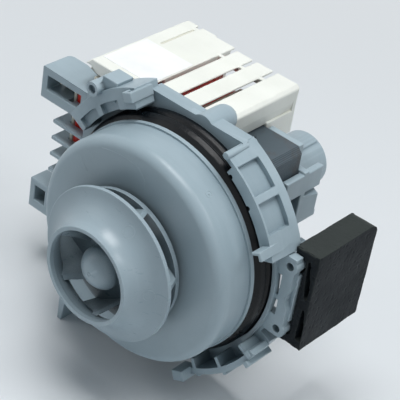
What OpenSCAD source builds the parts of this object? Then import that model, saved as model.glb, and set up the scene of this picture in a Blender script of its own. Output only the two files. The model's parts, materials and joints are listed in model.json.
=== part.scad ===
// Circulation pump motor with a wet rotor, for a dishwasher or a washing machine.
// The pump axis is Y. The impeller looks towards -Y, +X is right seen from the impeller, +Z is up.
// The origin lies on the pump axis, in the plane of the pump cover's rear lip.

/* [Pump cover] */
// Radius of the cover's rear lip, which seats in the pump housing
cover_lip_r = 45; // [43:0.5:46]
// Length of the lip along the axis
cover_lip_len = 1.8; // [1.2:0.1:3]
// Height of the cover's front face above the lip's rear plane
cover_depth = 17; // [14:0.5:17.5]
// Step from the lip down to the wall
cover_step = 0.8; // [0.8:0.1:2]
// Rounding between the cover's face and its wall
cover_corner_r = 4; // [3:0.5:6]
// Wall thickness of the cover
cover_wall = 2.4; // [1.6:0.2:3]

/* [Impeller] */
// Outer radius of the impeller's shroud
shroud_r = 29.8; // [28:0.2:32]
// Radius of the bell curve of the shroud
bell_r = 10.8; // [9:0.2:12]
// Wall thickness of the shroud
shroud_wall = 1.6; // [1.2:0.1:2.4]
// Distance from the cover's face to the impeller's back disc
disc_gap = 1.6; // [1.5:0.1:3]
// Radius of the back disc
disc_r = 26.4; // [24:0.2:28]
// Thickness of the back disc
disc_t = 1.8; // [1.2:0.1:2.5]
// Height of the outlet between the disc and the shroud's rim
outlet_h = 6; // [4.5:0.1:7.5]
// Number of blades
blade_count = 6; // [5:1:8]
// Radius at which the blades begin on the back disc
blade_root_r = 14.5; // [13:0.1:15.5]
// Thickness of a blade
blade_t = 1.3; // [1:0.1:2]
// Angle that a blade turns through from its root to its tip
blade_sweep = 60; // [52:1:66]
// Radius of a blade's curve
blade_curve_r = 38; // [32:1:50]
// Direction of the first blade's tip
blade_phase = 3.7; // [0:0.1:50]
// Radius of the hub behind the nose
hub_r = 8.2; // [7.8:0.1:9]
// Length of the nose beyond the shroud's inner face at the rim
nose_len = 10.3; // [8.5:0.1:11]

/* [Rotor] */
// Radius of the shaft
shaft_r = 3; // [2.5:0.1:3.4]
// Outer radius of the magnet
magnet_r = 13.8; // [12.5:0.1:14.2]
// Length of the magnet
magnet_len = 34; // [28:1:36]
// Outer radius of the magnet's sleeve
sleeve_r = 8; // [6.5:0.1:9]
// Width of the driver tooth, as an angle
tooth_deg = 60; // [40:1:70]
// Width of the impeller's stop, as an angle
stop_deg = 90; // [60:1:100]
// Outer radius of the bearings
bearing_r = 6; // [5:0.1:6.3]
// Length of the front bearing
front_bearing_len = 9; // [6:0.5:10]
// Length of the rear bearing
rear_bearing_len = 10; // [8:0.5:12]
// Outer radius of the rear bearing's rubber seat
bearing_seat_r = 7.8; // [7.4:0.1:8]

/* [Motor casing] */
// Distance from the lip's plane to the front of the flange plate
plate_y = 8.7; // [7:0.1:10]
// Thickness of the flange plate
plate_t = 3.2; // [2.4:0.1:4]
// Distance from the lip's plane to the rear of the flange's rim
rim_y = 15; // [14:0.1:16]
// Height of the flat top of the flange above the axis
top_z = 49.9; // [48:0.1:52]
// Radius of the flange plate between the lugs
flange_r = 50; // [49:0.1:51.5]
// Inner radius of the bayonet lugs
lug_inner_r = 48.8; // [48:0.1:50]
// Outer radius of the bayonet lugs
lug_outer_r = 54.7; // [53:0.1:57]
// Outer radius of the rotor can
can_r = 15.6; // [15.4:0.1:17]
// Wall thickness of the rotor can
can_wall = 1.2; // [0.8:0.1:1.4]

/* [Screw tab and rubber block] */
// Distance of the tab's screw holes from the axis, along X
tab_x = 52.35; // [51:0.05:54]
// Distance between the two screw holes
tab_pitch = 28.2; // [26:0.1:30]
// Radius of the screw holes
tab_hole_r = 1.65; // [1.4:0.05:2]
// Wall of the round bosses about the screw holes
tab_boss_wall = 1.5; // [1.2:0.1:2]
// Width of the rubber block
block_w = 10.5; // [8:0.5:14]
// Length of the rubber block along the axis
block_len = 36; // [28:1:40]
// Height of the rubber block
block_h = 42.5; // [40:0.5:46]

/* [Stator core and coils] */
// Front of the lamination stack
core_y = 19; // [18.6:0.1:21]
// Thickness of the lamination stack
core_stack = 28; // [24:0.5:30]
// Half height of the core
core_half_h = 33; // [32:0.5:34]
// Width of a leg of the core
leg_w = 16; // [14:0.5:16.5]
// Right end of the core
core_right = 23.6; // [21:0.1:24]
// Left end of the core
core_left = 62; // [61:0.1:62]
// Width of the yoke
yoke_w = 9.5; // [8.5:0.1:9.5]
// Depth of the winding with its tape, from the leg outwards
coil_depth = 5.4; // [4.6:0.1:5.6]
// Left end of the coils
coil_left = 50; // [48:0.2:50.2]
// Right end of the coils
coil_right = 11.5; // [11.4:0.1:16]

/* [Coil housing] */
// Height of the housing's top above the axis
housing_z = 45; // [43:0.5:47]
// Wall thickness of the housing
housing_wall = 2; // [1.4:0.1:2.4]
// Width of the cooling slots
slot_w = 2; // [1.4:0.1:2.6]
// Distance between the cooling slots
slot_pitch = 10.2; // [9:0.1:11]
// Thickness of the slats
slat_t = 1; // [0.8:0.1:1.4]
// Length of the bare sticker along the axis
label_len = 24; // [18:0.5:26]
// Thickness of the bare sticker
label_t = 0.15; // [0.1:0.05:0.4]

/* [Rear bracket] */
// Radius of the rear boss
boss_r = 11.6; // [11.4:0.1:13]
// Distance from the lip's plane to the end of the rear boss
boss_end_y = 87.4; // [84:0.1:88]

/* [Fits] */
// Radial clearance of the shaft in its bearings and in the hub
shaft_fit = 0.04; // [0.02:0.01:0.08]
// Clearance between pieces that slide into each other
slip_fit = 0.15; // [0.1:0.05:0.3]
// Clearance between the driver tooth and the hub's cavity
drive_fit = 0.4; // [0.3:0.05:0.5]

/* [Hidden] */

// Steps of a full turn
ROUND = 96;
FINE = 48;
// Overshoot of a cut beyond the face that it cuts
CUT = 1;
// Size of a helper shape that reaches past the whole part
FAR = 200;

grey = [0.60, 0.70, 0.76];
ivory = [0.93, 0.92, 0.87];
tape_red = [0.72, 0.18, 0.14];
rubber_black = [0.10, 0.10, 0.11];

// Places along the axis, from the cover forwards
face_y = -cover_depth;
disc_back_y = face_y - disc_gap;
disc_front_y = disc_back_y - disc_t;
rim_inner_y = disc_front_y - outlet_h;
rim_outer_y = rim_inner_y - shroud_wall;
throat_y = rim_outer_y - bell_r;
throat_r = shroud_r - bell_r - shroud_wall;
nose_y = rim_inner_y - nose_len;
nose_r = hub_r + 0.8;
blade_tip_r = shroud_r - 1.6;

// The driver tooth and the cavity that it swings in
cavity_r = hub_r - 1.7;
tooth_r = cavity_r - drive_fit;
dog_ring_r = shaft_r + 1.2;
cavity_front_y = rim_inner_y - 2.9;
dog_front_y = cavity_front_y + drive_fit;
dog_back_y = disc_back_y - 2;
shaft_front_y = nose_y + 2.6;

// The cover, its spigot on the casing and its bearing tube
lug_gap = 1.6;
gasket_bulge_r = lug_inner_r - lug_gap;
wall_r = cover_lip_r - cover_step;
inner_wall_r = wall_r - cover_wall;
register_r = inner_wall_r - slip_fit;
bearing_tube_r = bearing_r + 3;
front_bearing_y = face_y + cover_wall + 2;
tube_end_y = front_bearing_y + front_bearing_len + 3.5;
neck_r = bearing_tube_r + 2.2;
neck_front_y = tube_end_y - 3;
seal_r = (neck_r - bearing_tube_r) / 2;
seal_y = neck_front_y + 1.6;

// The can, from the plate back
plate_back_y = plate_y + plate_t;
can_bore_r = can_r - can_wall;
core_mid_y = core_y + core_stack / 2;
core_back_y = core_y + core_stack;
magnet_front_y = core_mid_y - magnet_len / 2;
magnet_back_y = core_mid_y + magnet_len / 2;
can_step_y = magnet_back_y + 5;
can_nose_r = bearing_seat_r + can_wall;
bearing_end_y = boss_end_y - 11.4;
rear_bearing_y = bearing_end_y - rear_bearing_len;
can_end_y = bearing_end_y + 2.2;
washer_t = 1.2;
washer_y = rear_bearing_y - washer_t;

// The core, the bobbins and the coils, mirrored about the plane Z = 0
leg_in_z = core_half_h - leg_w;
leg_mid_z = core_half_h - leg_w / 2;
pole_bore_r = can_r + 0.4;
pole_left = coil_right - 0.5;
pole_gap = 4;
core_chamfer = 2.3;
yoke_right = core_left - yoke_w;
yoke_chamfer = 10;
tube_wall = 1.2;
flange_t = 1.4;
flange_x = coil_left + flange_t;
coil_top_z = core_half_h + coil_depth;
coil_low_z = leg_in_z - coil_depth;
coil_front_y = core_y - coil_depth;
coil_back_y = core_back_y + coil_depth;
tape_t = 0.8;
end_taper = 2;

// The strip and the taped leads in front of the yoke
carrier_x = 61.8;
carrier_t = 1.4;
carrier_front_y = 13.7;
carrier_back_y = 18.4;
lead_front_y = 13.6;
lead_back_y = 17.2;
lead_low_z = 4.6;
lead_high_z = 28.8;
ledge_low_z = 23.3;
ledge_len = 8.2;
winding_depth = coil_depth - tape_t - end_taper / 2;

// The housing
housing_left = 53.4;
housing_right = 5.9;
housing_back_y = 64.3;
label_slat_back_y = 66.5;
slot_front_y = rim_y + 2;
slot_back_y = 55.3;
notch_front_y = 57;
first_slot_x = -26.9;
housing_skirt_z = core_half_h + 0.3;
rear_skirt_z = 24;
slope_foot = [65.5, 30.8];
slope_low_z = 29.5;

// The flange's rim and the lugs, whose details are shares of their wall
lug_front_y = 0;
lug_back_y = 15.4;
lug_t = lug_outer_r - lug_inner_r;
lug_front_r = lug_outer_r - 0.19 * lug_t;
lug_floor_r = lug_outer_r - 0.4 * lug_t;
lug_pocket_back_y = rim_y - 3.8;
// Directions at which the lugs start and end
right_lug = [20, 66];
upper_lug = [112, 152];
bottom_lug = [-64, -24];
left_lug = right_lug + [180, 180];
front_rim = 0.8;
top_left = 21.5;
rim_wall = 2.2;
dome = [4.5, 46.2];
dome_r = 5.2;
dome_y = 20;
apron_right = 39.1;

// The stud and the block above the lug at the upper left
stud_r = 2.9;
stud_wall = 1.2;
stud_turn = 131.3;
stud = (lug_outer_r + 4.3) * [cos(stud_turn), sin(stud_turn)];
block_side_x = [stud[0] + 1.1, stud[0] + 8.5];
block_side_y = [1.3, 9.7];

// The plug shrouds and fins at the left
block_front_y = 9.4;
block_back_y = 11.3;
shroud_back_y = 18.4;
top_back_y = 24.2;
block_right = 50.8;
upper_shroud = [75.4, 18.7, 32.3];
upper_opening = [72.5, 54.5, 23, 29.2];
lower_shroud = [76.2, 20.1, 33.7];
lower_opening = [73.5, 67.8, 23, 30];
shroud_right = block_right - 2;
fin_tip = 67.5;
fin_t = 1.6;
fin_pitch = 7.5;

// The screw tab and the rubber block
tab_front_y = 8.4;
tab_back_y = 12;
tab_boss_r = tab_hole_r + tab_boss_wall;
tab_boss_back_y = 14;
tab_edge = tab_x + 2.4;
tongue_t = 2.4;
tongue_x = tab_x + 0.6;
tongue_half_h = 10.5;
tongue_back_y = tab_back_y + 18;
block_x = tab_x - 1.35;

// Places the children about the pump axis: their X stays X, their Y becomes Z and their Z becomes Y
module on_axis(y = 0) {
    translate([0, y, 0])
        mirror([0, 1, 0])
            rotate([90, 0, 0])
                children();
}

// A body of revolution about the pump axis, from its outline in radius and Y
module spun(outline) {
    on_axis() rotate_extrude($fn = ROUND) polygon(outline);
}

// A tube about the pump axis
module tube(r_in, r_out, y0, y1) {
    spun([[r_in, y0], [r_out, y0], [r_out, y1], [r_in, y1]]);
}

// A solid between two planes across the axis, from its outline in X and Z
module slab(y0, y1) {
    on_axis(y0) linear_extrude(y1 - y0) children();
}

// A flat ring sector between two radii and two directions less than 170 degrees apart
module sector(r_in, r_out, a0, a1) {
    mid = (a0 + a1) / 2;
    reach = 2 * r_out / cos((a1 - a0) / 2);
    intersection() {
        difference() {
            circle(r = r_out, $fn = ROUND);
            circle(r = r_in, $fn = ROUND);
        }
        polygon([
            [0, 0],
            reach * [cos(a0), sin(a0)],
            reach * [cos(mid), sin(mid)],
            reach * [cos(a1), sin(a1)]
        ]);
    }
}

// A box from its lowest to its highest corner
module box(low, high) {
    translate(low) cube(high - low);
}

// A box whose outline stands square to the radius in direction a
module radial_box(a, r0, r1, half_w, y0, y1) {
    slab(y0, y1) rotate(a) translate([r0, -half_w]) square([r1 - r0, 2 * half_w]);
}

// Draws the children above the plane Z = 0 and again below it
module above_and_below() {
    children();
    mirror([0, 0, 1]) children();
}

// Impeller

// The space that the blades may fill: it leaves a free ring about the nose and ends inside the rim
module blade_space() {
    weld_gap = 0.05;
    on_axis() rotate_extrude($fn = ROUND) difference() {
        polygon([
            [blade_root_r, disc_back_y - disc_t / 2],
            [disc_r, disc_back_y - disc_t / 2],
            [disc_r, disc_front_y],
            [blade_tip_r, rim_inner_y],
            [blade_tip_r, throat_y],
            [throat_r + 0.8, throat_y + 4.6]
        ]);
        translate([shroud_r, throat_y]) circle(r = bell_r + shroud_wall + weld_gap, $fn = ROUND);
    }
}

// One blade: a thin stretch of a ring through the blade's root and its tip
module blade_outline() {
    root = [blade_root_r, 0];
    tip = shroud_r * [cos(blade_sweep), -sin(blade_sweep)];
    chord = tip - root;
    half = norm(chord) / 2;
    away = [chord[1], -chord[0]] / norm(chord);
    centre = (root + tip) / 2 + away * sqrt(blade_curve_r * blade_curve_r - half * half);
    intersection() {
        translate(centre) difference() {
            circle(r = blade_curve_r + blade_t / 2, $fn = ROUND);
            circle(r = blade_curve_r - blade_t / 2, $fn = ROUND);
        }
        sector(blade_root_r - 1, shroud_r, -blade_sweep - 10, 12);
    }
}

module impeller_hub() {
    color(grey) difference() {
        union() {
            tube(cavity_r - 0.5, disc_r, disc_front_y, disc_back_y);
            on_axis() rotate_extrude($fn = ROUND) intersection() {
                translate([0, nose_y + nose_r]) circle(r = nose_r, $fn = ROUND);
                polygon([
                    [0, nose_y], [hub_r, nose_y], [hub_r, nose_y + nose_r], [0, nose_y + nose_r]
                ]);
            }
            tube(0, hub_r, nose_y + nose_r - 0.5, disc_back_y);
            intersection() {
                blade_space();
                slab(throat_y, disc_back_y)
                    for (i = [0 : blade_count - 1])
                        rotate(blade_phase + blade_sweep + i * 360 / blade_count) blade_outline();
            }
        }
        tube(0, shaft_r + shaft_fit, shaft_front_y - 0.3, cavity_front_y + CUT);
        difference() {
            tube(0, cavity_r, cavity_front_y, disc_back_y + CUT);
            slab(cavity_front_y - CUT, dog_back_y)
                sector(dog_ring_r + drive_fit, cavity_r + CUT, tooth_deg / 2 + 5, tooth_deg / 2 + 5 + stop_deg);
        }
    }
}

module impeller_shroud() {
    lip_t = 1.2;
    color(grey) on_axis() rotate_extrude($fn = ROUND) {
        difference() {
            polygon([
                [throat_r, throat_y], [shroud_r, throat_y], [shroud_r, rim_inner_y],
                [shroud_r - bell_r - shroud_wall, rim_inner_y]
            ]);
            translate([shroud_r, throat_y]) circle(r = bell_r, $fn = ROUND);
            difference() {
                translate([throat_r - CUT, throat_y - CUT])
                    square([bell_r + shroud_wall + CUT, bell_r + shroud_wall + 2 * CUT]);
                translate([shroud_r, throat_y]) circle(r = bell_r + shroud_wall, $fn = ROUND);
            }
        }
        translate([throat_r, throat_y]) square([lip_t, 2]);
    }
}

// Pump cover and its seals

// Half of a cup's section with a rounded corner, open at the rear
module cup_section(r, front, corner, back) {
    translate([0, front]) square([r - corner, back - front]);
    translate([0, front + corner]) square([r, back - front - corner]);
    translate([r - corner, front + corner]) circle(r = corner, $fn = ROUND);
}

module pump_cover() {
    inner_corner_r = cover_corner_r - cover_wall / 2;
    shaft_hole_r = shaft_r + 1;
    color(grey) on_axis() rotate_extrude($fn = ROUND) difference() {
        union() {
            difference() {
                union() {
                    cup_section(wall_r, face_y, cover_corner_r, 0);
                    translate([0, -cover_lip_len]) square([cover_lip_r, cover_lip_len]);
                }
                cup_section(inner_wall_r, face_y + cover_wall, inner_corner_r, CUT);
            }
            translate([0, face_y + cover_wall / 2]) square([bearing_tube_r, tube_end_y - face_y - cover_wall / 2]);
        }
        translate([0, face_y - CUT]) square([shaft_hole_r, FAR]);
        translate([0, front_bearing_y]) square([bearing_r, FAR]);
    }
}

module cover_gasket() {
    lip_back_y = 0;
    groove_y = plate_y * 0.6;
    color(rubber_black) spun([
        [register_r + slip_fit, lip_back_y],
        [cover_lip_r - 0.3, lip_back_y],
        [gasket_bulge_r - 0.7, plate_y * 0.2],
        [gasket_bulge_r, plate_y * 0.42],
        [gasket_bulge_r - 0.6, plate_y * 0.52],
        [gasket_bulge_r - 1.5, groove_y],
        [gasket_bulge_r - 0.4, plate_y * 0.72],
        [gasket_bulge_r, plate_y * 0.86],
        [gasket_bulge_r, plate_y],
        [register_r + slip_fit, plate_y]
    ]);
}

module cover_seal() {
    squeeze = 0.03;
    color(rubber_black) on_axis(seal_y) rotate_extrude($fn = ROUND)
        translate([bearing_tube_r + seal_r, 0]) circle(r = seal_r - squeeze, $fn = FINE);
}

// Motor casing

// The flange plate seen along the axis, with the feet of the lugs
module flange_outline() {
    root = flange_r - 5;
    side_reach = 12.8;
    circle(r = flange_r, $fn = ROUND);
    intersection() {
        sector(root, lug_outer_r, right_lug[1] - 1, upper_lug[0] + 3);
        translate([-top_left, 0]) square([FAR, top_z]);
    }
    for (turn = [right_lug, left_lug])
        sector(root, lug_floor_r - 0.3, turn[0] - 1, turn[1] + 1);
    sector(root, lug_outer_r + 0.6, bottom_lug[0] - 1, bottom_lug[1] + 1);
    translate([-block_right, -core_half_h]) square([side_reach, 2 * core_half_h]);
}

// One bayonet lug: an arched wall with draft, two pockets in its outer face and a cut inner front corner
module lug(turn, back_y) {
    a = turn[0];
    cut_from = a + 40;
    difference() {
        intersection() {
            spun([
                [lug_inner_r, lug_front_y], [lug_front_r, lug_front_y], [lug_outer_r, rim_y],
                [lug_outer_r - rim_wall, rim_y], [lug_outer_r - rim_wall, plate_back_y - 0.3],
                [lug_inner_r, plate_back_y - 0.3]
            ]);
            slab(lug_front_y - CUT, back_y) sector(lug_inner_r - CUT, lug_outer_r + CUT, a, turn[1]);
        }
        slab(lug_front_y + front_rim, lug_pocket_back_y) {
            sector(lug_floor_r, lug_outer_r + CUT, a + 10.7, a + 22.9);
            sector(lug_floor_r, lug_outer_r + CUT, a + 26.1, a + 38.6);
        }
        slab(lug_front_y - CUT, plate_y) sector(lug_inner_r - CUT, lug_front_r - 1.6, cut_from, turn[1] + 1);
    }
}

// A box beside the radius in direction a, from offset w0 to w1 across it
module side_box(a, r0, r1, w0, w1, y0, y1) {
    slab(y0, y1) rotate(a) translate([r0, w0]) square([r1 - r0, w1 - w0]);
}

// The hook bar at the end of a lug: a flange along the axis with a leg on its outer edge
module hook_bar(a, front_y, back_y) {
    wall = 1.2;
    leg = 3.4;
    side_box(a, lug_inner_r + 0.2 * lug_t, lug_front_r + 0.3, -wall, 0, front_y, back_y);
    side_box(a, lug_front_r + 0.3 - wall, lug_front_r + 0.3, -leg, 0, front_y, back_y);
}

// The round bar at the other end of a lug
module round_bar(a, front_y, back_y) {
    bar_r = 1.25;
    slab(front_y, back_y) rotate(a) translate([lug_front_r + 0.2, 0]) circle(r = bar_r, $fn = FINE);
}

// The grooved bar at the end of a lug
module grooved_bar(a, front_y, back_y) {
    groove = 0.7;
    difference() {
        radial_box(a, lug_outer_r - 0.4 * lug_t, lug_outer_r + 1.6, 2.1, front_y, back_y);
        radial_box(a, lug_outer_r + 0.9, lug_outer_r + 3, groove, front_y + 1.2, back_y - 1.2);
    }
}

// The lug at the upper left, whose pockets are in its front face
module front_pocket_lug(a0, a1) {
    pocket = 1.6;
    outer_r = lug_outer_r + 2.3;
    difference() {
        slab(lug_front_y, plate_back_y) sector(lug_inner_r, outer_r, a0, a1);
        slab(lug_front_y - CUT, lug_front_y + pocket) {
            sector(lug_inner_r - CUT, outer_r - 0.75 * lug_t, a0 + 11, a0 + 22);
            sector(lug_inner_r - CUT, outer_r - 0.75 * lug_t, a0 + 25, a0 + 37);
        }
        slab(lug_front_y + 2, plate_y) sector(lug_inner_r - CUT, outer_r - 2, a0 + 11, a1 - 3);
    }
}

// The lug at the bottom: a front band on ribs, whose ends stand out of the band
module ribbed_lug(a0, a1) {
    band_in_r = lug_outer_r - 0.2 * lug_t;
    band_out_r = lug_outer_r + 1.2;
    slab(lug_front_y, plate_y + 0.4) sector(band_in_r, band_out_r, a0 + 0.4, a1 - 0.4);
    slab(plate_back_y - 0.3, lug_back_y) sector(lug_inner_r - 2, lug_outer_r + 0.6, a0, a1);
    for (a = [a0 + 3.8, a0 + 18.5, a1 - 4])
        radial_box(a, lug_inner_r + 0.1 * lug_t, band_in_r + 0.5, 0.8, lug_front_y, plate_y + CUT);
    for (a = [a0 + 3.8, a0 + 18.5])
        radial_box(a, band_out_r - 0.5, band_out_r + 1.3, 0.9, lug_front_y + 0.6, plate_y - CUT);
}

module lugs() {
    hook_turn = right_lug[0] + 6.9;
    bar_turn = right_lug[1] - 1.7;
    hook_y = [-6, plate_y + 0.6];
    bar_y = [-0.8, plate_y + 1.8];
    lug(right_lug, rim_y + CUT);
    lug(left_lug, plate_back_y);
    for (half_turn = [0, 180]) {
        hook_bar(half_turn + hook_turn, hook_y[0], hook_y[1]);
        round_bar(half_turn + bar_turn, bar_y[0], bar_y[1]);
    }
    front_pocket_lug(upper_lug[0], upper_lug[1]);
    grooved_bar(upper_lug[0] + 1, -3.5, plate_y - 0.7);
    side_box(upper_lug[0] + 2, lug_inner_r + 0.1 * lug_t, lug_outer_r - 0.35 * lug_t, -2.6, 2.6,
        -1.8, plate_y - 0.7);
    ribbed_lug(bottom_lug[0], bottom_lug[1]);
    bottom_lug_stops();
}

// The stops at both ends of the lug at the bottom
module bottom_lug_stops() {
    first = bottom_lug[0] - 2.3;
    last = bottom_lug[1] - 2.8;
    in_r = lug_outer_r - 0.3 * lug_t;
    side_box(first, in_r, lug_outer_r + 2.6, -1.9, 3.4, -5, 3);
    side_box(last, in_r, lug_outer_r + 0.8, -1.1, 1.1, -0.5, plate_back_y - 1.4);
    side_box(last - 3.5, lug_outer_r + 0.8, lug_outer_r + 3.2, -1.2, 1.2, -1, plate_back_y + 0.6);
}

// A plug shroud at the left, from its [left, low, high] and its opening's [left, right, low, high].
// It is shallow in front of the taped leads and deep beside them.
module plug_shroud(outer, opening) {
    left = outer[0];
    high = outer[2];
    height = high - outer[1];
    open_high = opening[3];
    open_height = open_high - opening[2];
    top_wall = 1.4;
    deep_x = carrier_x + 0.4;
    slab(block_front_y, block_back_y) difference() {
        translate([-left, outer[1]]) square([left - shroud_right, height]);
        translate([-opening[0], opening[2]]) square([opening[0] - opening[1], open_height]);
    }
    slab(block_front_y, shroud_back_y) difference() {
        translate([-left, outer[1]]) square([left - deep_x, height]);
        translate([-opening[0], opening[2]]) square([opening[0] - deep_x + CUT, open_height]);
    }
    // Top wall, which runs back over the yoke's chamfered corner
    box([-left, block_front_y, open_high], [-flange_x - 0.5, shroud_back_y, high]);
    translate([0, 0, high - top_wall]) linear_extrude(top_wall) polygon([
        [-left, shroud_back_y - CUT], [-left, top_back_y - 1.6], [-left + 0.6, top_back_y - 0.6],
        [-left + 2, top_back_y], [-left + 9.4, top_back_y], [-yoke_right - 5.4, top_back_y - 2.4],
        [-yoke_right - 2.8, top_back_y - 2.9], [-yoke_right - 2.8, shroud_back_y - CUT]
    ]);
}

module left_block() {
    plug_shroud(upper_shroud, upper_opening);
    mirror([0, 0, 1]) plug_shroud(lower_shroud, lower_opening);
    // Floor of the upper shroud in front of the taped leads
    box([-carrier_x + carrier_t + 0.2, block_front_y, upper_shroud[1]],
        [-upper_opening[1], lead_front_y - 0.3, upper_opening[2]]);
    for (i = [-1.5 : 1 : 1.5]) {
        box([-fin_tip, block_front_y, i * fin_pitch - fin_t / 2],
            [-shroud_right, block_back_y, i * fin_pitch + fin_t / 2]);
        box([-fin_tip, block_front_y, i * fin_pitch - fin_t / 2],
            [-carrier_x - 0.4, shroud_back_y - 0.3, i * fin_pitch + fin_t / 2]);
        box([-fin_tip, block_front_y, i * fin_pitch - fin_t / 2],
            [-flange_x - 0.3, lead_front_y - 0.3, i * fin_pitch + fin_t / 2]);
    }
}

module screw_tab() {
    half = tab_pitch / 2;
    difference() {
        union() {
            slab(tab_front_y, tab_back_y) difference() {
                translate([flange_r - 12, -half - 3]) square([tab_edge - flange_r + 12, tab_pitch + 7]);
                circle(r = gasket_bulge_r + 0.8, $fn = ROUND);
                translate([tab_edge + 6.6, 0]) circle(r = 8, $fn = ROUND);
            }
            for (z = [-half, half])
                slab(tab_front_y, tab_boss_back_y) translate([tab_x, z]) circle(r = tab_boss_r, $fn = FINE);
            box([tongue_x, tab_back_y - CUT, -tongue_half_h],
                [tongue_x + tongue_t, tongue_back_y, tongue_half_h]);
        }
        for (z = [-half, half])
            slab(tab_front_y - CUT, tab_boss_back_y + CUT)
                translate([tab_x, z]) circle(r = tab_hole_r, $fn = FINE);
    }
}

module screw_tab_windows() {
    box([tab_x - 7.15, plate_y - 2, 0], [tab_x - 2.35, plate_back_y + CUT, 9]);
    box([tab_x - 6.45, plate_y - 2, -8.7], [tab_x - 1.85, plate_back_y + CUT, -2]);
}

module rotor_can() {
    tube(can_bore_r, can_r, plate_y, can_step_y);
    tube(bearing_seat_r, can_r, can_step_y - can_wall, can_step_y);
    tube(bearing_seat_r, can_nose_r, can_step_y - can_wall, can_end_y);
    tube(0, can_nose_r, bearing_end_y + slip_fit, can_end_y);
}

module motor_casing() {
    foot_x = 38;
    foot_low_z = -lug_outer_r - 5.3;
    foot_high_z = foot_low_z + 28;
    ring_front_y = -2.5;
    ring_floor_y = -1;
    color(grey) {
        difference() {
            union() {
                slab(plate_y, plate_back_y) flange_outline();
                screw_tab();
            }
            tube(0, can_bore_r, plate_y - CUT, plate_back_y + CUT);
            screw_tab_windows();
        }
        tube(register_r - 2.2, register_r, -4, plate_y + CUT);
        slab(6.7, plate_y + CUT) sector(gasket_bulge_r + 0.4, lug_inner_r + 0.3, -34, 22);
        tube(neck_r, neck_r + 2.2, neck_front_y, plate_y + CUT);
        tube(neck_r, can_r, plate_y, plate_back_y);
        rotor_can();
        // Top wall of the flange and its arched stretch at the right
        box([-top_left, plate_y, top_z - rim_wall], [22.4, rim_y, top_z]);
        lugs();
        left_block();
        // Block and stud above the lug at the upper left
        difference() {
            box([block_side_x[0], block_side_y[0], stud[1] - 3],
                [block_side_x[1], block_side_y[1], top_z - 0.4]);
            tube(0, lug_inner_r + 0.4, -CUT, plate_y);
        }
        slab(ring_front_y, 2) translate(stud) difference() {
            circle(r = stud_r, $fn = FINE);
            circle(r = stud_r - stud_wall, $fn = FINE);
        }
        slab(ring_floor_y, plate_back_y) translate(stud) circle(r = stud_r, $fn = FINE);
        // Locating boss behind the top wall
        slab(plate_y, dome_y) translate(dome) circle(r = dome_r, $fn = ROUND);
        translate([dome[0], dome_y, dome[1]]) sphere(r = dome_r, $fn = ROUND);
        // Foot rib at the lower left
        difference() {
            slab(-8, plate_back_y) polygon([
                [-foot_x, foot_low_z], [-foot_x + 2, foot_low_z], [-foot_x + 6, foot_high_z], [-foot_x, foot_high_z]
            ]);
            tube(0, lug_inner_r + 0.5, -9, plate_y);
        }
    }
}

// Rear bracket

module rear_bracket() {
    plate_front = core_back_y + 0.3;
    plate_back = plate_front + 3;
    half_h = core_half_h - 0.2;
    post_z = rear_skirt_z - 0.7;
    wall_h = 22.3;
    cradle_x = core_right + 0.3;
    cradle_t = 2.8;
    plate_left = 10;
    collar_r = can_r + 2.4;
    collar_end_y = can_step_y + slip_fit + 2;
    bore_r = can_nose_r + slip_fit;
    color(grey) difference() {
        union() {
            tube(0, boss_r, plate_front, boss_end_y);
            intersection() {
                tube(0, collar_r, plate_front, collar_end_y);
                box([-plate_left, 0, -FAR], [FAR, FAR, FAR]);
            }
            slab(plate_front, plate_back) {
                translate([-plate_left, -post_z]) square([cradle_x + cradle_t + plate_left, 2 * post_z]);
                translate([housing_right + 0.4, -half_h])
                    square([core_right - core_chamfer - housing_right, 2 * half_h]);
            }
            // Walls that hold the core's right side
            above_and_below()
                box([cradle_x, core_back_y - 10, wall_h - 9], [cradle_x + cradle_t, plate_back + 9, wall_h]);
            // Ribs from the plate to the boss
            above_and_below()
                box([4, plate_front, boss_r - 4], [6.4, plate_back + 14, wall_h]);
            box([boss_r - 3, plate_front, -1.2], [cradle_x + cradle_t, plate_back + 10, 1.2]);
            // Wedge rib at the right
            translate([0, 0, 1.4]) linear_extrude(10.4) polygon([
                [cradle_x - 1, plate_front + 1], [cradle_x + cradle_t, plate_front + 1],
                [cradle_x + cradle_t + 2, plate_back + 6], [cradle_x - 1, plate_back + 9]
            ]);
            // Key rib along the boss
            box([3.8, collar_end_y, boss_r - 4], [5.2, boss_end_y - 1, boss_r - 0.2]);
        }
        tube(0, can_r + slip_fit, plate_front - CUT, can_step_y + slip_fit);
        tube(0, bore_r, plate_front, can_end_y + slip_fit);
    }
}

// Stator core and coils

module core_half_outline() {
    difference() {
        polygon([
            [-core_left, 0], [-core_left, core_half_h - yoke_chamfer],
            [-core_left + yoke_chamfer, core_half_h],
            [core_right - core_chamfer, core_half_h], [core_right, core_half_h - core_chamfer],
            [core_right, pole_gap], [-pole_left, pole_gap], [-pole_left, leg_in_z],
            [-yoke_right, leg_in_z], [-yoke_right, 0]
        ]);
        circle(r = pole_bore_r, $fn = ROUND);
    }
}

module stator_core() {
    color([0.30, 0.28, 0.27]) slab(core_y, core_back_y) {
        core_half_outline();
        mirror([0, 1]) core_half_outline();
    }
}

// A box of rounded section round the upper leg, grown by a distance from the leg
module round_leg(left, right, grow, corner) {
    w = core_stack + 2 * grow - 2 * corner;
    h = leg_w + 2 * grow - 2 * corner;
    translate([-left, core_mid_y, leg_mid_z]) rotate([90, 0, 90]) linear_extrude(left - right) union() {
        square([w + 2 * corner, h], center = true);
        square([w, h + 2 * corner], center = true);
        for (i = [-1, 1], j = [-1, 1])
            translate([i * w / 2, j * h / 2]) circle(r = corner, $fn = FINE);
    }
}

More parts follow.
